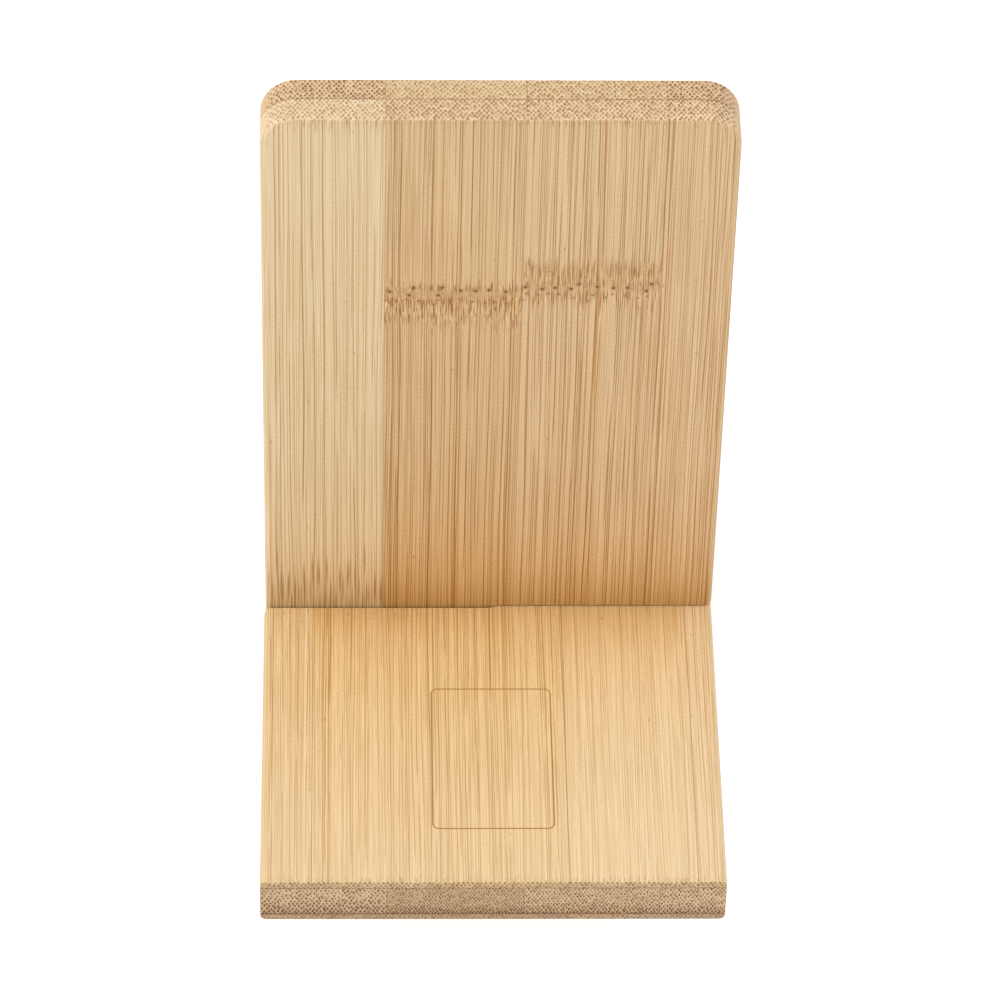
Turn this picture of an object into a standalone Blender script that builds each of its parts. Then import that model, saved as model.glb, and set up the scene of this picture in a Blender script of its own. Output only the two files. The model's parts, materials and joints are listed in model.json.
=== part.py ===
"""Bamboo phone holder: two flat plates that slide into each other and stand as a leaning cross.

The back plate leans the phone back and the base plate carries its foot. Each plate has one slot from a
long side to past its middle, and each is glued up from bamboo strips, with every strip its own object.
Both plates are drawn in the same way: x across the width, y along the grain, z out of the used face,
with y = 0 and z = 0 where the back plate's front face meets the base plate's top face.
"""

from math import atan2, cos, pi, sin, sqrt

import bmesh
import bpy
from mathutils import Vector

# Plates, in metres
board_thickness = 0.0093
plate_width = 0.075
back_left_inset = 0.0004
base_left_taper = 0.0004
base_front_length = 0.0603
base_rear_length = 0.0510
back_upper_length = 0.1101
back_lower_length = 0.0210

# Rounded edges of the plates
back_corner_radius = 0.0058
side_edge_radius = 0.0010
back_top_edge_radius = 0.0004
end_edge_radius = 0.00025

# Slots, where the plates cross
slot_clearance = 0.00035
slot_corner_radius = 0.0040
slot_mouth_radius = 0.0008
slot_end_gap = 0.0003
lap_shift = 0.0012

# Plies, and where their strips meet, as shares of a plate's width from its left side
base_face_ply = 0.00143
glue_line = 0.00002
back_strip_shares = (0.261, 0.554, 0.846)
base_core_strip_shares = (0.272, 0.566, 0.857)
base_face_strip_shares = (0.111, 0.387, 0.663, 0.939)

# Cutters run past what they cut by this much
overrun = 0.0020

# Facets in a quarter of a circle
corner_steps = 18
edge_steps = 6
end_steps = 3
slot_steps = 8

# Faces that turn by less than the first angle are one flat face, and edges past the second are creases
flat_angle = pi / 3600
crease_angle = pi / 7

# Colours of the strips from left to right, as sRGB values out of 255
back_front_colours = [(220, 189, 146), (206, 166, 118), (209, 172, 125), (211, 174, 129)]
back_rear_colours = [(206, 174, 134), (213, 180, 140), (211, 178, 138), (204, 171, 131)]
base_top_colours = [(229, 194, 145), (229, 193, 141), (224, 186, 131), (233, 199, 148), (232, 198, 152)]
base_core_colours = [(184, 152, 118), (183, 148, 110), (190, 158, 121), (187, 155, 119)]
base_bottom_colours = [(222, 187, 138), (224, 189, 140), (221, 184, 134), (226, 191, 143), (225, 190, 143)]
bamboo_roughness = 0.48

# Places along the grain, measured from where the plates cross
base_front_end = -base_front_length
base_rear_end = board_thickness + base_rear_length
back_top_end = back_upper_length
back_bottom_end = -board_thickness - back_lower_length
base_left = -plate_width / 2
base_rear_left = base_left + base_left_taper
base_right = plate_width / 2
back_left = base_left + back_left_inset
back_right = base_right

# The holder stands level on both plates' lower ends when the back leans by this angle
lean = atan2(back_lower_length, base_rear_length)


def clear_scene():
    for thing in list(bpy.data.objects):
        bpy.data.objects.remove(thing, do_unlink=True)


def linear(colour):
    """A colour given as sRGB out of 255, as the linear values that a shader takes."""
    shares = [value / 255 for value in colour]
    return [s / 12.92 if s <= 0.04045 else ((s + 0.055) / 1.055) ** 2.4 for s in shares]


def bamboo(name, colour):
    material = bpy.data.materials.new(name)
    material.use_nodes = True
    shader = material.node_tree.nodes["Principled BSDF"]
    shader.inputs["Base Color"].default_value = (*linear(colour), 1)
    shader.inputs["Roughness"].default_value = bamboo_roughness
    shader.inputs["Metallic"].default_value = 0
    return material


def add_object(name, mesh, parent):
    thing = bpy.data.objects.new(name, mesh)
    bpy.context.scene.collection.objects.link(thing)
    thing.parent = parent
    return thing


def add_frame(name, parent=None, angle=0):
    """An empty that carries a plate, turned about the x axis."""
    frame = add_object(name, None, parent)
    frame.rotation_euler.x = angle
    return frame


def quarter(steps):
    """Angles from 0 to a right angle."""
    return [pi / 2 * step / steps for step in range(steps + 1)]


def edge_profile(radius, sunk):
    """One side of a plate's section, from the used face round to the other face.

    Each point is how far it lies in from the side and its z. A section that is sunk is smaller all
    round by that much, as it is inside a rounded end.
    """
    bend = radius - sunk
    used_face = [(sunk + bend * (1 - sin(a)), -sunk - bend * (1 - cos(a))) for a in quarter(edge_steps)]
    return used_face + [(inset, -board_thickness - z) for inset, z in reversed(used_face)]


def section(bm, left, right, y, radius, sunk=0, turn=0):
    """A ring of vertices round a plate. With a turn, the ring's sides follow a rounded corner."""
    profile = edge_profile(radius, sunk)
    right_side = [(right - inset * cos(turn), y - inset * sin(turn), z) for inset, z in profile]
    left_side = [(left + inset * cos(turn), y - inset * sin(turn), z) for inset, z in reversed(profile)]
    return [bm.verts.new(point) for point in right_side + left_side]


def square_end(bm, left, right, end, inward):
    """The rings of an end that is sawn square and eased. The end's face is the first ring."""
    rings = []
    for angle in quarter(end_steps):
        sunk = end_edge_radius * (1 - sin(angle))
        depth = end_edge_radius * (1 - cos(angle))
        rings.append(section(bm, left, right, end + inward * depth, side_edge_radius, sunk))
    return rings


def rounded_end(bm, left, right, end):
    """The rings of an end with rounded corners, whose edge is finer along the end than at the sides."""
    rings = []
    for angle in quarter(corner_steps):
        drawn_in = back_corner_radius * (1 - cos(angle))
        y = end - back_corner_radius * (1 - sin(angle))
        share = (1 - cos(2 * angle)) / 2
        radius = side_edge_radius + (back_top_edge_radius - side_edge_radius) * share
        rings.append(section(bm, left + drawn_in, right - drawn_in, y, radius, turn=angle))
    return rings


def skin(bm, rings):
    for ring, following in zip(rings, rings[1:]):
        for i in range(len(ring)):
            j = (i + 1) % len(ring)
            bm.faces.new((ring[i], ring[j], following[j], following[i]))


def close_across(bm, ring):
    """Faces between the two sides of a ring whose sides face each other."""
    last = len(ring) - 1
    for i in range(len(ring) // 2 - 1):
        bm.faces.new((ring[i], ring[i + 1], ring[last - i - 1], ring[last - i]))


def finish_mesh(bm, name):
    bmesh.ops.recalc_face_normals(bm, faces=bm.faces)
    mesh = bpy.data.meshes.new(name)
    bm.to_mesh(mesh)
    bm.free()
    return mesh


def base_blank():
    bm = bmesh.new()
    front = square_end(bm, base_left, base_right, base_front_end, 1)
    rear = square_end(bm, base_rear_left, base_right, base_rear_end, -1)
    skin(bm, front + rear[::-1])
    bm.faces.new(front[0])
    bm.faces.new(rear[0])
    return finish_mesh(bm, "base_blank")


def back_blank():
    bm = bmesh.new()
    bottom = square_end(bm, back_left, back_right, back_bottom_end, 1)
    top = rounded_end(bm, back_left, back_right, back_top_end)
    skin(bm, bottom + top)
    bm.faces.new(bottom[0])
    close_across(bm, top[-1])
    return finish_mesh(bm, "back_blank")


def arc(centre, radius, start, end):
    angles = [start + (end - start) * step / slot_steps for step in range(slot_steps + 1)]
    return [(centre[0] + radius * cos(a), centre[1] + radius * sin(a)) for a in angles]


def past(near, point):
    """The point that lies beyond the given one, on the line from the near one."""
    step = (Vector(point) - Vector(near)).normalized() * overrun
    return tuple(Vector(point) + step)


def slot_outline(mouth, end, low, high):
    """A slot that opens to the right, with rounded inner corners and eased mouth corners."""
    inner = slot_corner_radius
    outer = slot_mouth_radius
    lower_mouth = arc((mouth - outer, low - outer), outer, 0, pi / 2)
    lower_corner = arc((end + inner, low + inner), inner, -pi / 2, -pi)
    upper_corner = arc((end + inner, high - inner), inner, pi, pi / 2)
    upper_mouth = arc((mouth - outer, high + outer), outer, -pi / 2, 0)
    start = past(lower_mouth[1], lower_mouth[0])
    finish = past(upper_mouth[-2], upper_mouth[-1])
    return [start, *lower_mouth[1:], *lower_corner, *upper_corner, *upper_mouth[:-1], finish]


def slot_cutter(name, outline, parent):
    """A prism through the board, which is only a tool for the cut."""
    bm = bmesh.new()
    face = bm.faces.new([bm.verts.new((x, y, overrun)) for x, y in outline])
    grown = bmesh.ops.extrude_face_region(bm, geom=[face])
    moved = [part for part in grown["geom"] if isinstance(part, bmesh.types.BMVert)]
    bmesh.ops.translate(bm, verts=moved, vec=(0, 0, -board_thickness - 2 * overrun))
    cutter = add_object(name, finish_mesh(bm, name), parent)
    cutter.hide_render = True
    cutter.display_type = "WIRE"
    return cutter


def slotted(blank, outline, parent):
    """The blank with its slot cut, as a mesh."""
    board = add_object(blank.name, blank, parent)
    cutter = slot_cutter(blank.name + "_slot_cutter", outline, parent)
    cut = board.modifiers.new("slot", "BOOLEAN")
    cut.operation = "DIFFERENCE"
    cut.solver = "EXACT"
    cut.object = cutter
    bpy.context.view_layer.update()
    evaluated = board.evaluated_get(bpy.context.evaluated_depsgraph_get())
    mesh = bpy.data.meshes.new_from_object(evaluated)
    bpy.data.objects.remove(board, do_unlink=True)
    bpy.data.objects.remove(cutter, do_unlink=True)
    return mesh


def saw(bm, place, keep):
    """Cuts along the plane through place and closes the cut. The side that keep points to stays."""
    everything = bm.verts[:] + bm.edges[:] + bm.faces[:]
    bmesh.ops.bisect_plane(bm, geom=everything, plane_co=place, plane_no=keep, clear_inner=True)
    open_edges = [edge for edge in bm.edges if edge.is_boundary]
    bmesh.ops.holes_fill(bm, edges=open_edges, sides=0)


def cut_out(board, left, right, high, low):
    """The part of a board between two places across it and two levels through it."""
    bm = bmesh.new()
    bm.from_mesh(board)
    saw(bm, (left, 0, 0), (1, 0, 0))
    saw(bm, (right, 0, 0), (-1, 0, 0))
    saw(bm, (0, 0, high), (0, 0, -1))
    saw(bm, (0, 0, low), (0, 0, 1))
    return bm


def split_loose(bm):
    """The separate bodies in a mesh, each as its own mesh data, from the lowest y to the highest."""
    bodies = []
    waiting = set(bm.verts)
    while waiting:
        group = set()
        border = [next(iter(waiting))]
        while border:
            vertex = border.pop()
            if vertex in group:
                continue
            group.add(vertex)
            border.extend(edge.other_vert(vertex) for edge in vertex.link_edges)
        waiting -= group
        bodies.append(group)
    bodies.sort(key=lambda group: sum(vertex.co.y for vertex in group) / len(group))
    bm.verts.index_update()
    copies = []
    for group in bodies:
        copy = bm.copy()
        kept = {vertex.index for vertex in group}
        others = [vertex for vertex in copy.verts if vertex.index not in kept]
        bmesh.ops.delete(copy, geom=others, context="VERTS")
        copies.append(copy)
    bm.free()
    return copies


def strip_edges(left, right, shares):
    """Where a ply's strips begin and end, from the plate's left side to its right side."""
    return [left, *[left + (right - left) * share for share in shares], right]


def lay_ply(board, name, edges, high, low, colours, halves, parent):
    """Makes the strips of one ply, each piece that the slot leaves of a strip its own object."""
    for number, (left, right) in enumerate(zip(edges, edges[1:])):
        from_left = left + glue_line / 2 if left > edges[0] else left - overrun
        to_right = right - glue_line / 2 if right < edges[-1] else right + overrun
        pieces = split_loose(cut_out(board, from_left, to_right, high, low))
        for piece, half in zip(pieces, halves):
            ending = "_" + half if len(pieces) > 1 else ""
            full_name = f"{name}_strip_{number + 1}{ending}"
            bmesh.ops.dissolve_limit(piece, angle_limit=flat_angle, verts=piece.verts, edges=piece.edges)
            mesh = finish_mesh(piece, full_name)
            mesh.shade_smooth()
            mesh.set_sharp_from_angle(angle=crease_angle)
            mesh.materials.append(bamboo(full_name + "_finish", colours[number]))
            add_object(full_name, mesh, parent)


def lap_reach():
    """How far a slot must run past the line where the plates meet, so that its round end clears."""
    inner = slot_corner_radius
    return inner - sqrt(inner**2 - (inner - slot_clearance) ** 2) + slot_end_gap / 2


def base_left_at(y):
    """Where the base plate's left side lies, which runs in a little from the front end to the rear end."""
    share = (y - base_front_end) / (base_rear_end - base_front_end)
    return base_left + (base_rear_left - base_left) * share


def make_base(parent):
    low = -slot_clearance
    high = board_thickness + slot_clearance
    mouth = -base_left_at(board_thickness / 2)
    mirrored = slot_outline(mouth, -lap_shift - lap_reach(), low, high)
    outline = [(-x, y) for x, y in reversed(mirrored)]
    board = slotted(base_blank(), outline, parent)
    face_edges = strip_edges(base_left, base_right, base_face_strip_shares)
    core_edges = strip_edges(base_left, base_right, base_core_strip_shares)
    upper = -base_face_ply
    lower = base_face_ply - board_thickness
    gap = glue_line / 2
    halves = ("front", "rear")
    lay_ply(board, "base_top", face_edges, overrun, upper + gap, base_top_colours, halves, parent)
    lay_ply(board, "base_core", core_edges, upper - gap, lower + gap, base_core_colours, halves, parent)
    bottom = -board_thickness - overrun
    lay_ply(board, "base_bottom", face_edges, lower - gap, bottom, base_bottom_colours, halves, parent)


def make_back(parent):
    low = -board_thickness - slot_clearance
    high = slot_clearance
    outline = slot_outline(back_right, lap_shift - lap_reach(), low, high)
    board = slotted(back_blank(), outline, parent)
    edges = strip_edges(back_left, back_right, back_strip_shares)
    middle = -board_thickness / 2
    gap = glue_line / 2
    halves = ("lower", "upper")
    lay_ply(board, "back_front", edges, overrun, middle + gap, back_front_colours, halves, parent)
    bottom = -board_thickness - overrun
    lay_ply(board, "back_rear", edges, middle - gap, bottom, back_rear_colours, halves, parent)


def stand_on_ground(holder):
    """Moves the whole holder so that it stands at z = 0, with its middle at x = 0 and y = 0."""
    bpy.context.view_layer.update()
    solids = [thing for thing in bpy.data.objects if thing.type == "MESH"]
    points = [solid.matrix_world @ vertex.co for solid in solids for vertex in solid.data.vertices]
    for axis in range(2):
        places = [point[axis] for point in points]
        holder.location[axis] -= (min(places) + max(places)) / 2
    holder.location.z -= min(point.z for point in points)


clear_scene()
holder = add_frame("holder", angle=-lean)
base_plate = add_frame("base_plate", holder)
back_plate = add_frame("back_plate", holder, angle=pi / 2)
make_base(base_plate)
make_back(back_plate)
stand_on_ground(holder)
bpy.context.view_layer.update()
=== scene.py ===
import json
from math import cos, radians, sin

import bpy
from mathutils import Matrix, Vector


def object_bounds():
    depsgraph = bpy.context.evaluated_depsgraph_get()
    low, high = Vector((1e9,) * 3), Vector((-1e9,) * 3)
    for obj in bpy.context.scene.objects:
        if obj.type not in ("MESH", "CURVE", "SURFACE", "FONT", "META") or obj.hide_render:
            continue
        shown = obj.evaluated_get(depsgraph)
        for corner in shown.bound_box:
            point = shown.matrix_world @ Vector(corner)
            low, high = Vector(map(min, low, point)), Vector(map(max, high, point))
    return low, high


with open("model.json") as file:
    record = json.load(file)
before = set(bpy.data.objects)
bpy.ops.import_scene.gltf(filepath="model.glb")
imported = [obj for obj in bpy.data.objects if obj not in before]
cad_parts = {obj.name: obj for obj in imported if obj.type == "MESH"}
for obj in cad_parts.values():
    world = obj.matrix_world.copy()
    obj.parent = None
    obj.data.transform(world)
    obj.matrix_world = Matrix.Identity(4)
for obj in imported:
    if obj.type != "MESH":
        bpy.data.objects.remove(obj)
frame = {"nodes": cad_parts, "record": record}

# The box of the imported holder, before anything is dressed
cad_low, cad_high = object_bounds()

# The two plates' directions and the point where they cross, from the faces that the phone rests on
mounts = {mount["name"]: mount for mount in frame["record"]["mounts"]}
forward = Vector(mounts["phone_rest"]["axis"])
upward = Vector(mounts["phone_foot"]["axis"])
sideways = Vector((1, 0, 0))
crossing_forward = forward.dot(Vector(mounts["phone_rest"]["pos_m"]))
crossing_upward = upward.dot(Vector(mounts["phone_foot"]["pos_m"]))
crossing = forward * crossing_forward + upward * crossing_upward

# Lengths in materials are in millimetres
millimetres = 1000
left_side = cad_low[0] * millimetres
plate_width = (cad_high[0] - cad_low[0]) * millimetres


def corners_of(nodes):
    return [corner.co for node in nodes for corner in node.data.vertices]


def from_crossing(place, direction):
    """How far a place lies from the crossing in a direction."""
    return (direction.dot(place) - direction.dot(crossing)) * millimetres


# From the base plate's used face down to its underside, which is the back plate's thickness too
base_nodes = [node for name, node in frame["nodes"].items() if name.startswith("base_")]
plate_thickness = -min(from_crossing(corner, upward) for corner in corners_of(base_nodes))


def linear(colour):
    """A colour given as sRGB out of 255, as the linear values that a shader takes."""
    shares = [value / 255 for value in colour]
    values = [share / 12.92 if share <= 0.04045 else ((share + 0.055) / 1.055) ** 2.4 for share in shares]
    return (*values, 1)


class Value:
    """A number, a vector or a colour that varies over a surface. Python's operators work on the numbers."""

    def __init__(self, shading, socket):
        self.shading = shading
        self.socket = socket

    def maths(self, operation, *terms):
        return self.shading.add("ShaderNodeMath", {"operation": operation}, dict(enumerate(terms)))[0]

    def __add__(self, other):
        return self.maths("ADD", self, other)

    def __radd__(self, other):
        return self.maths("ADD", other, self)

    def __sub__(self, other):
        return self.maths("SUBTRACT", self, other)

    def __rsub__(self, other):
        return self.maths("SUBTRACT", other, self)

    def __mul__(self, other):
        return self.maths("MULTIPLY", self, other)

    def __rmul__(self, other):
        return self.maths("MULTIPLY", other, self)

    def __truediv__(self, other):
        return self.maths("DIVIDE", self, other)

    def __pow__(self, other):
        return self.maths("POWER", self, other)

    def __abs__(self):
        return self.maths("ABSOLUTE", self)

    def at_least(self, other):
        return self.maths("MAXIMUM", self, other)

    def rise(self, low, high):
        """0 below low, 1 above high, and a smooth step between."""
        settings = {"interpolation_type": "SMOOTHSTEP"}
        sockets = {"Value": self, "From Min": low, "From Max": high}
        return self.shading.add("ShaderNodeMapRange", settings, sockets)[0]

    def fall(self, low, high):
        """1 below low, 0 above high, and a smooth step between."""
        return 1 - self.rise(low, high)


class Shading:
    """The nodes of one material."""

    def __init__(self, name):
        self.material = bpy.data.materials.new(name)
        self.material.use_nodes = True
        self.tree = self.material.node_tree
        self.surface = self.tree.nodes["Principled BSDF"]

    def put(self, socket, value):
        if isinstance(value, Value):
            self.tree.links.new(value.socket, socket)
        else:
            socket.default_value = value

    def feed(self, name, value):
        """Gives one of the surface's own inputs its value."""
        self.put(self.surface.inputs[name], value)

    def add(self, kind, settings, sockets):
        """Adds a node, with its settings first and then its sockets, and returns its outputs."""
        node = self.tree.nodes.new(kind)
        for name, value in settings.items():
            setattr(node, name, value)
        for name, value in sockets.items():
            self.put(node.inputs[name], value)
        return [Value(self, output) for output in node.outputs]

    def outputs(self, kind, names):
        """Adds a node that takes nothing, and returns its outputs of these names."""
        found = {output.socket.name: output for output in self.add(kind, {}, {})}
        return [found[name] for name in names]

    def point(self, x, y):
        return self.add("ShaderNodeCombineXYZ", {}, {"X": x, "Y": y})[0]

    def dot(self, vector, direction):
        settings = {"operation": "DOT_PRODUCT"}
        return self.add("ShaderNodeVectorMath", settings, {0: vector, 1: direction})[1]

    def noise(self, x, y):
        """Soft noise about 0.5, whose features are one unit wide."""
        sockets = {"Vector": self.point(x, y), "Scale": 1, "Detail": 1}
        return self.add("ShaderNodeTexNoise", {"noise_dimensions": "2D"}, sockets)[0]

    def cells(self, x, y, stray, metric="EUCLIDEAN"):
        """The distance to the nearest of many points, one in each unit square, and that point's own number.

        Stray is how far the points lie from a regular grid, from 0 to 1.
        """
        settings = {"voronoi_dimensions": "2D", "distance": metric}
        sockets = {"Vector": self.point(x, y), "Scale": 1, "Randomness": stray}
        distance, own = self.add("ShaderNodeTexVoronoi", settings, sockets)[:2]
        return distance, self.dot(own, (1, 0, 0))

    def row(self, x, stray):
        """The same for points on a line, one in each unit."""
        sockets = {"W": x, "Scale": 1, "Randomness": stray}
        distance, own = self.add("ShaderNodeTexVoronoi", {"voronoi_dimensions": "1D"}, sockets)[:2]
        return distance, self.dot(own, (1, 0, 0))

    def mixed(self, settings, factor, first, second):
        """Adds a Mix node: its factor is socket 0, its colours sockets 6 and 7, and its result output 2."""
        settings = {"data_type": "RGBA", "clamp_factor": True, **settings}
        return self.add("ShaderNodeMix", settings, {0: factor, 6: first, 7: second})[2]

    def mix(self, factor, first, second):
        """The first colour where the factor is 0, and the second where it is 1."""
        return self.mixed({}, factor, first, second)

    def tint(self, factor, first, second):
        """The first colour where the factor is 0, and the two multiplied where it is 1."""
        return self.mixed({"blend_type": "MULTIPLY"}, factor, first, second)

    def bump(self, height, distance, strength):
        sockets = {"Height": height, "Distance": distance, "Strength": strength}
        return self.add("ShaderNodeBump", {}, sockets)[0]


# What a strip looks like, unless its plate, its ply or its own entry further down says otherwise.
# Colours are sRGB values out of 255, and lengths are in millimetres.
common_look = {
    "lines": 1.0,  # Strength of the dark lines
    "fine": 0.9,  # Strength of the hair-thin lines
    "amber": (198, 140, 66),  # Colour of the few wide-spaced lines
    "row": 0.74,  # Distance between the dots of a row
    "rows": 1.1,  # Distance between the rows of dots
    "stray": 0.38,  # How far the dots stray from their rows, from 0 to 1
    "dot_size": 1.0,  # Size of the dots, against their usual one
    "heart": 0.45,  # Strength of the paler heart of each dot
    "cut": 0.004,  # How far the fibres sink for each millimetre along the face
    "ticks": 1.6,  # How far the ticks reach in from the sawn end
    "joint": None,  # The stalk's joint: its height and the band that it leaves
    "streaks": 0,  # Height that the pointed streaks above the crossing reach
    "dark_depths": None,  # Depths between which the ends grow darker
    "warm": 1.0,  # Strength of the warm tint towards the crossing
    "far": 0.06,  # Strength of the paler colour towards the far end
}

# What differs between the plates: how long a line runs before it fades, half the width of the dark and the
# amber lines, the strength of the bundles and the grit, how far the warm tint reaches and its colour, and
# where the paler far end begins and where it is fully there
plate_looks = {
    "back": {
        "line_length": 28,
        "dark_width": 0.095,
        "amber_width": 0.1,
        "bundle": 0.3,
        "grit": 0.55,
        "warm_reach": 40,
        "warm_tint": (249, 229, 197),
        "far_from": 45,
        "far_to": 115,
    },
    "base": {
        "line_length": 18,
        "dark_width": 0.08,
        "amber_width": 0.09,
        "bundle": 0.2,
        "grit": 0.6,
        "warm_reach": 30,
        "warm_tint": (252, 239, 222),
        "far_from": 10,
        "far_to": 60,
    },
}

# What sets a ply's strips apart
ply_looks = {
    "back_front": {},
    "back_rear": {},
    "base_top": {"far": 0.2},
    "base_core": {"stray": 0.42, "dot_size": 0.86, "heart": 0.1},
    "base_bottom": {},
}

# The two bands that a stalk's joint leaves: how far its streaks reach above and below the small holes, the
# middle of the tangled specks and how far they lie from it, and how long a streak is
high_band = {"above": 8.5, "below": 5.5, "middle": 2.0, "half": 4.4, "streak": 5.5}
low_band = {"above": 2.5, "below": 10, "middle": -0.8, "half": 2.8, "streak": 3.2}


def strip_look(ground, pale, line, end, dot, **more):
    """One strip's own look: its face's ground with its pale and dark lines, and its end with its dots."""
    return {"ground": ground, "pale": pale, "line": line, "end": end, "dot": dot, **more}


# The strips of each ply, from left to right
looks = {
    "back_front": [
        strip_look((231, 207, 168), (239, 217, 184), (176, 132, 56), (227, 203, 168), (170, 130, 80),
                   lines=0.95, amber=(200, 158, 96), ticks=3.0, streaks=19, warm=0.4, far=0.12),
        strip_look((224, 190, 142), (230, 198, 154), (150, 100, 36), (224, 194, 158), (156, 116, 62),
                   dot_size=1.08, joint={"height": 73.1, **low_band}),
        strip_look((226, 194, 151), (233, 203, 161), (160, 110, 44), (226, 196, 160), (156, 116, 62),
                   dot_size=1.08, joint={"height": 74.2, **high_band}),
        strip_look((225, 192, 147), (236, 207, 167), (162, 110, 50), (230, 199, 161), (136, 92, 36),
                   cut=0.006),
    ],
    "back_rear": [
        strip_look((222, 188, 143), (232, 200, 156), (164, 116, 62), (222, 190, 150), (124, 82, 40),
                   heart=0.3),
        strip_look((226, 194, 148), (234, 204, 160), (174, 126, 72), (222, 194, 153), (160, 120, 72)),
        strip_look((220, 184, 136), (230, 196, 150), (166, 114, 60), (220, 191, 151), (152, 112, 64),
                   joint={"height": 31, **high_band}),
        strip_look((224, 190, 144), (233, 202, 158), (170, 120, 66), (222, 188, 148), (124, 82, 40),
                   heart=0.3),
    ],
    "base_top": [
        strip_look((225, 195, 147), (238, 210, 166), (176, 130, 62), (214, 184, 141), (134, 94, 50),
                   warm=0.1),
        strip_look((227, 197, 147), (239, 211, 164), (176, 130, 60), (214, 184, 141), (134, 94, 50)),
        strip_look((227, 198, 147), (239, 211, 163), (176, 130, 62), (213, 182, 137), (132, 92, 48),
                   warm=0.9),
        strip_look((228, 202, 157), (240, 214, 172), (186, 140, 74), (217, 187, 144), (138, 98, 54),
                   lines=0.5, fine=0.7, warm=1.2),
        strip_look((228, 199, 156), (241, 215, 173), (182, 136, 72), (214, 184, 141), (136, 96, 52),
                   warm=0.3),
    ],
    "base_core": [
        strip_look((228, 194, 144), (238, 206, 158), (176, 128, 72), (218, 186, 147), (108, 64, 22),
                   row=0.70, rows=1.25, dark_depths=(3.0, 8.0)),
        strip_look((226, 190, 140), (236, 202, 154), (172, 122, 68), (203, 170, 130), (104, 60, 22),
                   row=0.54, rows=0.98, dark_depths=(5.0, 7.6)),
        strip_look((228, 194, 144), (238, 206, 158), (176, 128, 72), (215, 184, 143), (102, 58, 20),
                   row=0.62, rows=1.1, dark_depths=(4.0, 8.0)),
        strip_look((226, 192, 142), (236, 204, 156), (174, 126, 70), (218, 187, 147), (104, 60, 22),
                   row=0.66, rows=1.16, dark_depths=(4.5, 8.2)),
    ],
    "base_bottom": [
        strip_look((228, 194, 144), (238, 206, 158), (176, 128, 72), (192, 162, 128), (136, 102, 72)),
        strip_look((230, 196, 146), (240, 208, 160), (178, 130, 74), (190, 160, 126), (136, 102, 72),
                   joint={"height": 18, **low_band}),
        strip_look((227, 190, 140), (237, 202, 154), (174, 124, 68), (188, 158, 124), (134, 100, 70)),
        strip_look((231, 198, 149), (241, 210, 164), (180, 134, 78), (192, 162, 128), (136, 102, 72)),
        strip_look((230, 196, 148), (240, 208, 162), (178, 132, 76), (192, 162, 128), (136, 102, 72)),
    ],
}

# The colours that are the same on every strip: the bamboo's own markings, and painted shadow and a painted
# highlight
marks_and_painted_light = {
    "streak": (166, 116, 54),
    "deep_dots": (214, 200, 186),
    "lowest_edge": (196, 168, 140),
    "ply_glue": (118, 82, 48),
    "strip_glue": (150, 108, 66),
    # Painted highlight along the sawn ends' rounded edges
    "arris_highlight": (238, 208, 150),
    "tick": (154, 104, 50),
    "joint_stain": (188, 134, 76),
    "joint_tangle": (150, 102, 48),
    "joint_pale": (232, 198, 146),
    "joint_streak": (156, 102, 50),
    "hole_rim": (160, 104, 56),
    "hole": (92, 62, 20),
    "hole_heart": (190, 150, 96),
    "fleck": (140, 90, 48),
    # Painted contact shadow where the plates cross
    "painted_shade": (230, 228, 218),
    "far_end": (238, 218, 188),
    "speck": (190, 122, 68),
    "engraved": (166, 116, 62),
}
marks_and_painted_light = {name: linear(colour) for name, colour in marks_and_painted_light.items()}


class Strip:
    """One strip's shading: where a point lies in the strip, and what kind of face it is on.

    Across runs from the base plate's left side, along is the distance from where the plates cross, with the
    grain, and depth is negative below the plate's used face. Beside is across on the used face and goes on
    down the plate's sides, where it grows by side_stretch for each millimetre. End is 1 on faces that cut
    the grain, and face is 1 on the plate's broad faces. Left, right, low, high and last are the strip's
    own edges.
    """

    side_stretch = 1.6

    def __init__(self, name, nodes, look):
        self.shading = Shading(name + "_bamboo")
        self.look = look
        plate, ply, _, number = name.split("_")
        self.is_back = plate == "back"
        self.is_used = ply in ("front", "top")
        grain, normal = (upward, forward) if self.is_back else (forward, upward)
        where, facing = self.shading.outputs("ShaderNodeTexCoord", ("Object", "Normal"))
        self.across = self.shading.dot(where, sideways * millimetres) - left_side
        self.along = self.measured(where, grain)
        self.depth = self.measured(where, normal)
        self.end = abs(self.shading.dot(facing, grain)).rise(0.4, 0.8)
        self.face = abs(self.shading.dot(facing, normal)).rise(0.5, 0.9)
        corners = corners_of(nodes)
        self.left = min(corner.x for corner in corners) * millimetres - left_side
        self.right = max(corner.x for corner in corners) * millimetres - left_side
        outward = 1 if self.left + self.right < plate_width else -1
        self.beside = self.across + self.depth * (self.side_stretch * outward)
        self.low = min(from_crossing(corner, normal) for corner in corners)
        self.high = max(from_crossing(corner, normal) for corner in corners)
        self.last = max(from_crossing(corner, grain) for corner in corners)
        self.seed = 17 * list(looks).index(f"{plate}_{ply}") + 3.7 * int(number)

    def measured(self, where, direction):
        """The same as from_crossing, for the place that is being shaded."""
        return self.shading.dot(where, direction * millimetres) - direction.dot(crossing) * millimetres

    def noise(self, wide, long, shift):
        """Noise whose features are so wide across the grain and so long with it. Each shift has its own."""
        seed = self.seed + shift
        return self.shading.noise(self.beside / wide + seed, self.along / long + seed * 0.7)


def bundles(strip):
    """Dark bundles of fibres, which run with the grain in staggered rows: how near one is, and its number.

    They are cut straight across on ends, where each shows as a dot, and lengthwise on faces, as a line. The
    sum and the difference of column and row turn the grid of cells by 45 degrees, which staggers its rows.
    """
    look = strip.look
    wander = (strip.noise(wide=1.6, long=80, shift=5) - 0.5) * 0.6
    depth = strip.depth + strip.along * look["cut"] + wander * strip.face
    column = strip.across / look["row"] + strip.seed
    row = depth / look["rows"]
    return strip.shading.cells(column + row, column - row, look["stray"])


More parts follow.
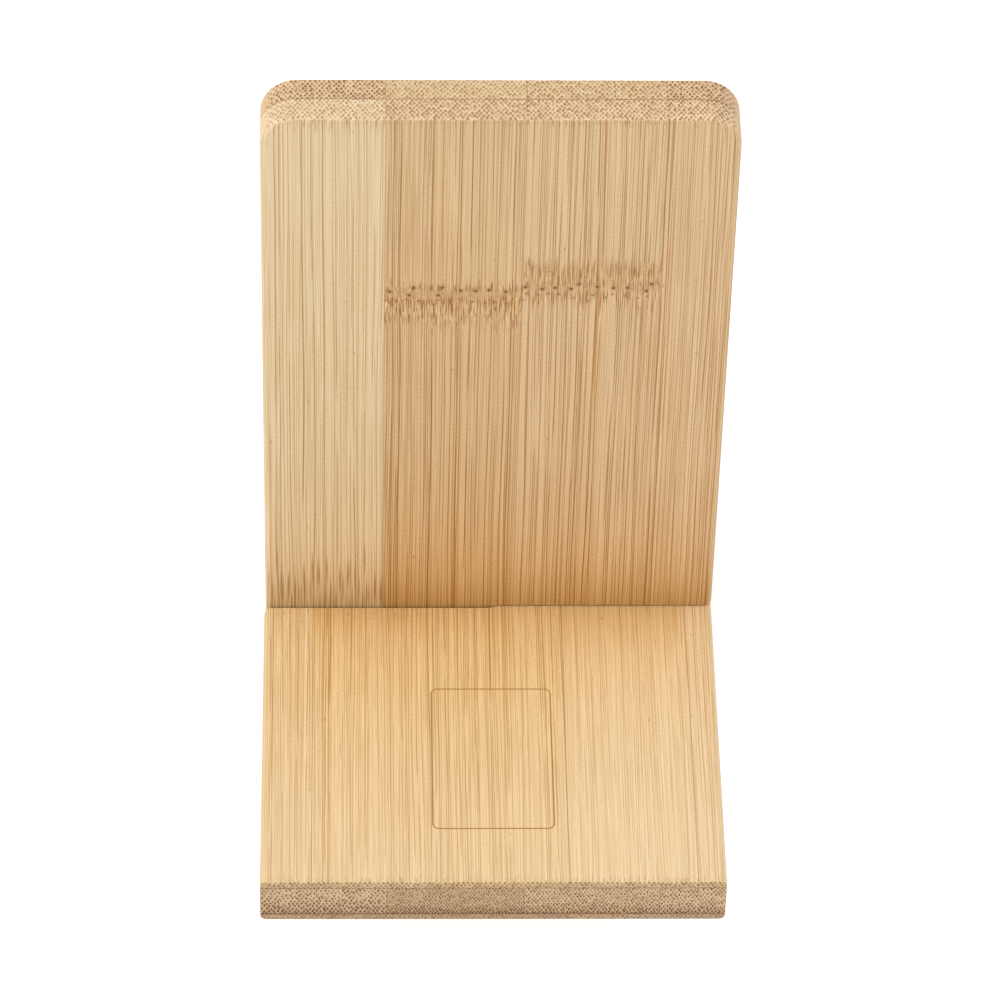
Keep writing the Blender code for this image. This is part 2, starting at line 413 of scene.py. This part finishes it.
def lines(strip, spacing, half_width, shift):
    """Straight lines with the grain, each with its own strength and fading here and there."""
    widest_sway = 1.2
    sway = (strip.noise(wide=5, long=70, shift=shift) - 0.5) * widest_sway
    away, own = strip.shading.row((strip.beside + sway) / spacing + strip.seed + shift, stray=0.8)
    fading = strip.shading.noise(own * 50, strip.along / strip.look["line_length"] + shift).rise(0.28, 0.52)
    return (away * spacing).fall(half_width * 0.6, half_width * 1.3) * own * fading


def spindles(strip, wide, long, size, shift):
    """Short streaks with pointed ends, which lie with the grain: one in each piece so wide and so long."""
    x = strip.beside / wide + strip.seed + shift
    away, own = strip.shading.cells(x, strip.along / long + shift, stray=0.9, metric="MANHATTAN")
    return away.fall(size * 0.5, size) * (0.4 + 0.6 * own)


def frayed(strip, wide, long, above, shift):
    """Ragged short streaks with the grain, close together, where noise rises above a level."""
    return strip.noise(wide, long, shift).rise(above, above + 0.07)


def pointed_streaks(strip, colour):
    """Streaks side by side above the crossing, each narrowing upwards to its own tip, in three layers."""
    shading = strip.shading
    top = strip.look["streaks"]
    widening, narrowing = (0, 7), (5, 12)
    for spacing, lowest_tip, highest_tip, strength, shift in (
        (1.2, 0.4 * top, top, 0.7, 20),
        (0.9, 0.25 * top, 0.8 * top, 0.65, 24),
        (0.7, 0.1 * top, 0.5 * top, 0.6, 25),
    ):
        away, own = shading.row(strip.beside / spacing + strip.seed + shift, stray=0.9)
        below_tip = lowest_tip + own * (highest_tip - lowest_tip) - strip.along
        half_width = below_tip.rise(*widening) * below_tip.fall(*narrowing) * (0.16 * spacing)
        streak = (half_width - away * spacing).rise(-0.02, 0.05) * strip.face
        colour = shading.mix(streak * strength, colour, marks_and_painted_light["streak"])
    return colour


def face_colour(strip, near, own):
    """Long straight lines on a pale ground, some pale, some hair-thin, some amber and some dark."""
    look = strip.look
    mix = strip.shading.mix
    ground, pale, line, amber = [linear(look[part]) for part in ("ground", "pale", "line", "amber")]
    tone = strip.noise(wide=2.8, long=90, shift=1).rise(0.3, 0.7)
    colour = mix(tone * 0.06, ground, line)
    colour = mix(lines(strip, spacing=0.4, half_width=0.085, shift=3) * 1.3, colour, pale)
    if not strip.is_back:
        colour = mix(spindles(strip, wide=0.5, long=30, size=0.22, shift=21), colour, pale)
        colour = mix(spindles(strip, wide=0.6, long=24, size=0.16, shift=22) * 0.5, colour, line)
    colour = mix(lines(strip, spacing=2.4, half_width=look["amber_width"], shift=17), colour, amber)
    hair = lines(strip, spacing=0.32, half_width=0.075, shift=2)
    colour = mix(hair * look["fine"], colour, line)
    dark = lines(strip, spacing=0.85, half_width=look["dark_width"], shift=4)
    bundle = near.fall(0.08, 0.2) * own * look["bundle"]
    colour = mix(dark.at_least(bundle) * look["lines"], colour, line)
    if look["streaks"]:
        colour = pointed_streaks(strip, colour)
    grit = strip.noise(wide=0.14, long=0.6, shift=7)
    return mix((grit - 0.35) * look["grit"], colour, line)


def end_colour(strip, near, own):
    """Dots in staggered rows, each with a paler heart, on a pale ground."""
    look = strip.look
    mix = strip.shading.mix
    pale, dot = linear(look["end"]), linear(look["dot"])
    patch = strip.shading.noise(strip.across / 2.5 + strip.seed, strip.depth / 1.5).rise(0.3, 0.7)
    colour = mix(patch * 0.18, pale, dot)
    size = look["dot_size"]
    ring = (near - (own - 0.5) * 0.1).fall(0.27 * size, 0.40 * size)
    colour = mix(ring * (0.65 + 0.35 * own), colour, dot)
    colour = mix(near.fall(0.05, 0.2) * look["heart"], colour, pale)
    if look["dark_depths"]:
        colour = darker_below(strip, near, colour)
    return colour


def darker_below(strip, near, colour):
    """Wider dots on a browner ground low down on an end, which is brownest at the ply's lower edge."""
    shading = strip.shading
    start, stop = strip.look["dark_depths"]
    deep = (0 - strip.depth).rise(start, stop)
    colour = shading.mix(near.fall(0.32, 0.44) * deep * 0.7, colour, linear(strip.look["dot"]))
    colour = shading.tint(deep * 0.5, colour, marks_and_painted_light["deep_dots"])
    lowest = (strip.depth - strip.low).fall(0.1, 0.9)
    return shading.tint(lowest * 0.5, colour, marks_and_painted_light["lowest_edge"])


# Half the width of a glue line's dark middle, and how far from its middle the line has faded out
ply_glue_line = (0.04, 0.13)
strip_glue_line = (0.03, 0.12)


def seams(strip, colour):
    """Thin glue lines, between the plies on ends and between the strips everywhere."""
    shading = strip.shading
    at_surface = 0.5
    strength = 0.35 + 0.5 * shading.noise(strip.across / 0.35, strip.depth / 2).rise(0.35, 0.6)
    for level in (strip.low, strip.high):
        if at_surface < -level < plate_thickness - at_surface:
            near = abs(strip.depth - level).fall(*ply_glue_line)
            colour = shading.mix(near * strip.end * strength, colour, marks_and_painted_light["ply_glue"])
    for side in (strip.left, strip.right):
        if at_surface < side < plate_width - at_surface:
            near = abs(strip.across - side).fall(*strip_glue_line)
            colour = shading.mix(near * 0.3, colour, marks_and_painted_light["strip_glue"])
    return colour


def end_ticks(strip, colour):
    """A painted highlight along the edge of the sawn end, and short dark ticks on the face, where fibres
    broke out there.
    """
    shading = strip.shading
    reach = strip.look["ticks"]
    arris_highlight = (0.2, 0.6)
    inward = strip.last - strip.along
    # Painted highlight: a paler band where the sawn end's rounded edge catches the light
    colour = shading.mix(inward.fall(*arris_highlight) * 0.1, colour, marks_and_painted_light["arris_highlight"])
    tick = strip.noise(wide=0.13, long=6, shift=8).rise(0.52, 0.58)
    length = (strip.noise(wide=0.3, long=40, shift=9) - 0.3) * 3 * reach
    near = (length - inward).rise(0, 0.3 * reach)
    return shading.mix(tick * near * 0.65, colour, marks_and_painted_light["tick"])


def joint_band(strip, colour):
    """Where the stalk had a joint: tangled specks, short streaks and two rows of small dark holes."""
    joint = strip.look["joint"]
    height = strip.along - joint["height"]
    raggedness = 9
    ragged = (strip.noise(wide=0.4, long=40, shift=10) - 0.5) * raggedness
    colour = joint_specks(strip, colour, joint, height + ragged * 0.12)
    colour = joint_streaks(strip, colour, joint, height, ragged)
    colour = joint_holes(strip, colour, height, spacing=2.3, drop=0, size=1)
    return joint_holes(strip, colour, height, spacing=1.7, drop=2.1, size=0.6)


def joint_specks(strip, colour, joint, height):
    shading = strip.shading
    near = abs(height - joint["middle"]).fall(joint["half"] * 0.4, joint["half"])
    colour = shading.mix(near * 0.2, colour, marks_and_painted_light["joint_stain"])
    tangle = strip.noise(wide=0.22, long=0.34, shift=11).rise(0.48, 0.56)
    patchy = strip.noise(wide=1.2, long=2.5, shift=26).rise(0.35, 0.65)
    return shading.mix(tangle * near * patchy * 0.6, colour, marks_and_painted_light["joint_tangle"])


def joint_streaks(strip, colour, joint, height, ragged):
    """Pale and red-brown streaks, which thin out unevenly above and below the holes."""
    shading = strip.shading
    above, below, long = joint["above"], joint["below"], joint["streak"]
    upper = (height + ragged).fall(above * 0.2, above * 0.9) * height.rise(-0.4, 1)
    lower = (0 - height - ragged).fall(below * 0.3, below) * (0 - height).rise(0, 1.6)
    reach = (upper + lower) * strip.noise(wide=1.5, long=30, shift=13).rise(0, 0.45) * 1.2
    pale = frayed(strip, wide=0.17, long=long, above=0.53, shift=18)
    colour = shading.mix(pale * reach * 0.8, colour, marks_and_painted_light["joint_pale"])
    ragged_ones = frayed(strip, wide=0.15, long=long, above=0.54, shift=12)
    pointed_ones = spindles(strip, wide=0.6, long=long * 2, size=0.3, shift=23)
    return shading.mix(ragged_ones.at_least(pointed_ones) * reach, colour, marks_and_painted_light["joint_streak"])


def joint_holes(strip, colour, height, spacing, drop, size):
    """A row of small round holes, each with a stained rim and a paler heart."""
    shading = strip.shading
    unevenness = 2
    aside, own = shading.row(strip.beside / spacing + strip.seed + drop, stray=0.9)
    rising = height + drop + (own - 0.5) * unevenness
    away = ((aside * spacing) ** 2 + rising ** 2) ** 0.5
    colour = shading.mix(away.fall(0.3 * size, 0.7 * size) * 0.5, colour, marks_and_painted_light["hole_rim"])
    colour = shading.mix(away.fall(0.17 * size, 0.3 * size) * size, colour, marks_and_painted_light["hole"])
    return shading.mix(away.fall(0.03, 0.13) * 0.4, colour, marks_and_painted_light["hole_heart"])


def flecks(strip, colour):
    """A few small dark marks, far apart: one in each piece so wide and so long."""
    wide, long = 7, 16
    away, own = strip.shading.cells(strip.beside / wide + strip.seed, strip.along / long, stray=1)
    return strip.shading.mix(away.fall(0.01, 0.025) * own ** 2 * 0.7, colour, marks_and_painted_light["fleck"])


def long_fade(strip, colour):
    """The used faces are browner towards where the plates meet, with a painted contact shadow close to the
    crossing, and paler towards their far ends.
    """
    shading = strip.shading
    look = strip.look
    # Painted contact shadow on the used faces, close to where the plates cross
    painted_shade_reach = 16
    away = abs(strip.along)
    painted_shade = (1 - away / painted_shade_reach).at_least(0) ** 2 * strip.face
    painted_shade_strength = 1 if strip.is_back else 0.5 * look["warm"]
    colour = shading.tint(painted_shade * painted_shade_strength, colour, marks_and_painted_light["painted_shade"])
    # The warm tint towards the crossing is partly stain and partly painted shadow
    warm = (1 - away / look["warm_reach"]).at_least(0) ** 2 * strip.face
    colour = shading.tint(warm * look["warm"], colour, linear(look["warm_tint"]))
    far = away.rise(look["far_from"], look["far_to"])
    return shading.mix(far * look["far"], colour, marks_and_painted_light["far_end"])


# Where the red-brown specks begin to thin out and where they end: in front of the back plate, and from the
# left side
specks_along = (1, 9)
specks_across = (24, 30)


def corner_specks(strip, colour):
    """Red-brown specks on the left of the base plate's used face, close in front of the back plate."""
    speck = strip.noise(wide=0.22, long=1.1, shift=14).rise(0.55, 0.7)
    near = strip.along.fall(*specks_along) * strip.across.fall(*specks_across)
    return strip.shading.mix(speck * near * 0.35, colour, marks_and_painted_light["speck"])


# The panel's thin line, engraved on the base plate: its middle across and along, half its size both ways,
# the radius of its corners, the line's width, and the strips that it lies on
panel_across, panel_along = 37.7, 33.75
panel_half_width, panel_half_length = 9.8, 15.15
panel_corner = 1.0
panel_line_width = 0.22
panel_strips = ("base_top_strip_2", "base_top_strip_3")


def panel_outline(strip):
    """A rounded rectangle: 1 on its line and 0 elsewhere."""
    aside = abs(strip.across - panel_across) - (panel_half_width - panel_corner)
    ahead = abs(strip.along - panel_along) - (panel_half_length - panel_corner)
    outside = (aside.at_least(0) ** 2 + ahead.at_least(0) ** 2) ** 0.5
    inside = 0 - (0 - aside.at_least(ahead)).at_least(0)
    away = abs(outside + inside - panel_corner)
    line = away.fall(panel_line_width * 0.3, panel_line_width * 0.75)
    return line * strip.face * strip.depth.rise(-0.8, -0.4)


# The satin finish: its roughness, how much that varies and how much rougher the ends are, and its gloss
satin_roughness = 0.5
roughness_spread = 0.1
end_roughness = 0.12
gloss = 0.35

# The relief: how far it stands up in metres, its parts from the fibres' ends and from the grain, and the
# engraved line's depth
relief_height = 0.00003
fibre_relief = 0.6
grain_relief = 0.6
engraved_relief = 3


def bamboo(name, nodes, look):
    """The material of one strip."""
    strip = Strip(name, nodes, look)
    shading = strip.shading
    near, own = bundles(strip)
    face = face_colour(strip, near, own)
    if look["joint"]:
        face = joint_band(strip, face)
    face = flecks(strip, end_ticks(strip, face))
    if strip.is_used:
        face = long_fade(strip, face)
        if not strip.is_back:
            face = corner_specks(strip, face)
    colour = seams(strip, shading.mix(strip.end, face, end_colour(strip, near, own)))
    relief = near.rise(0.1, 0.4) * strip.end * fibre_relief
    relief = relief + strip.noise(wide=0.18, long=60, shift=15) * grain_relief
    if name in panel_strips:
        line = panel_outline(strip)
        colour = shading.mix(line * 0.95, colour, marks_and_painted_light["engraved"])
        relief = relief - line * engraved_relief
    varying = strip.noise(wide=0.5, long=20, shift=16) * roughness_spread
    shading.feed("Base Color", colour)
    shading.feed("Roughness", satin_roughness + varying + strip.end * end_roughness)
    shading.feed("Normal", shading.bump(relief, relief_height, strength=0.5))
    shading.feed("Specular IOR Level", gloss)
    return shading.material


def dress():
    """Gives each strip's pieces that strip's own bamboo."""
    strips = {}
    for name, node in frame["nodes"].items():
        plate, ply, _, number = name.split("_")[:4]
        strips.setdefault((plate, ply, number), []).append(node)
    for (plate, ply, number), nodes in strips.items():
        ply_name = f"{plate}_{ply}"
        own_look = looks[ply_name][int(number) - 1]
        look = {**common_look, **plate_looks[plate], **ply_looks[ply_name], **own_look}
        material = bamboo(f"{ply_name}_strip_{number}", nodes, look)
        for node in nodes:
            node.data.materials.clear()
            node.data.materials.append(material)


# The floor: half its side in metres, its grey, and the light of its own that makes it white to the camera
# and in reflections
floor_reach = 3.0
floor_grey = 0.8
floor_glow = 0.5


def floor():
    """The pale floor, which looks white and keeps the holder's shadow."""
    mesh = bpy.data.meshes.new("floor")
    corners = [(x * floor_reach, y * floor_reach, 0) for x, y in ((-1, -1), (1, -1), (1, 1), (-1, 1))]
    mesh.from_pydata(corners, [], [(0, 1, 2, 3)])
    thing = bpy.data.objects.new("floor", mesh)
    bpy.context.scene.collection.objects.link(thing)
    shading = Shading("floor_white")
    shading.feed("Base Color", (floor_grey, floor_grey, floor_grey, 1))
    shading.feed("Roughness", 1)
    rays = ("Is Camera Ray", "Is Glossy Ray", "Is Transmission Ray")
    camera_ray, glossy_ray, through_ray = shading.outputs("ShaderNodeLightPath", rays)
    seen = camera_ray.at_least(glossy_ray).at_least(through_ray)
    shading.feed("Emission Color", shading.mix(seen, (0, 0, 0, 1), (1, 1, 1, 1)))
    shading.feed("Emission Strength", floor_glow)
    mesh.materials.append(shading.material)


# The white room's strength, and the square lamps: name, size in metres, power in watts, and place
room_strength = 0.62
lamps = (
    ("overhead", 0.9, 8.5, (-0.2, -0.1, 1.3)),
    ("front", 0.9, 1.2, (0.4, -0.9, 0.7)),
    ("left", 0.6, 3.0, (-1.0, 0.15, 0.35)),
    ("right", 0.6, 1.5, (1.0, 0.15, 0.35)),
)


def lights():
    """A white room, and lamps that face the middle of the holder."""
    world = bpy.data.worlds.new("studio")
    bpy.context.scene.world = world
    world.use_nodes = True
    background = world.node_tree.nodes["Background"]
    background.inputs["Color"].default_value = (1, 1, 1, 1)
    background.inputs["Strength"].default_value = room_strength
    middle = (cad_low + cad_high) / 2
    for name, size, power, place in lamps:
        light = bpy.data.lights.new(name, "AREA")
        light.size = size
        light.energy = power
        lamp = bpy.data.objects.new(name, light)
        bpy.context.scene.collection.objects.link(lamp)
        lamp.location = place
        lamp.rotation_euler = (middle - Vector(place)).to_track_quat("-Z", "Y").to_euler()


# The camera: its tilt above the base plate's top face, its turn and its roll, how far right, down and ahead
# of it the crossing lies, in metres, and its lens, in pixels of a frame so many pixels wide
camera_tilt = radians(46.1)
camera_turn = radians(-2.23)
camera_roll = radians(1.64)
crossing_right, crossing_down, crossing_ahead = -0.0021, 0.0178, 0.9828
lens_in_pixels = 5874
frame_in_pixels = 1000


def camera():
    """The camera, turned to the holder and then placed from where it sees the plates cross."""
    turned_side = sideways * cos(camera_turn) - forward * sin(camera_turn)
    turned_front = sideways * sin(camera_turn) + forward * cos(camera_turn)
    level_down = turned_front * sin(camera_tilt) - upward * cos(camera_tilt)
    ahead = -turned_front * cos(camera_tilt) - upward * sin(camera_tilt)
    right = turned_side * cos(camera_roll) - level_down * sin(camera_roll)
    down = turned_side * sin(camera_roll) + level_down * cos(camera_roll)
    position = crossing - right * crossing_right - down * crossing_down - ahead * crossing_ahead
    data = bpy.data.cameras.new("camera")
    data.lens = data.sensor_width * lens_in_pixels / frame_in_pixels
    data.clip_start = 0.05
    data.clip_end = 20
    thing = bpy.data.objects.new("camera", data)
    bpy.context.scene.collection.objects.link(thing)
    axes = Matrix((right, -down, -ahead)).transposed()
    thing.matrix_world = Matrix.Translation(position) @ axes.to_4x4()
    bpy.context.scene.camera = thing


dress()
floor()
lights()
camera()
bpy.context.scene.view_settings.view_transform = "Standard"
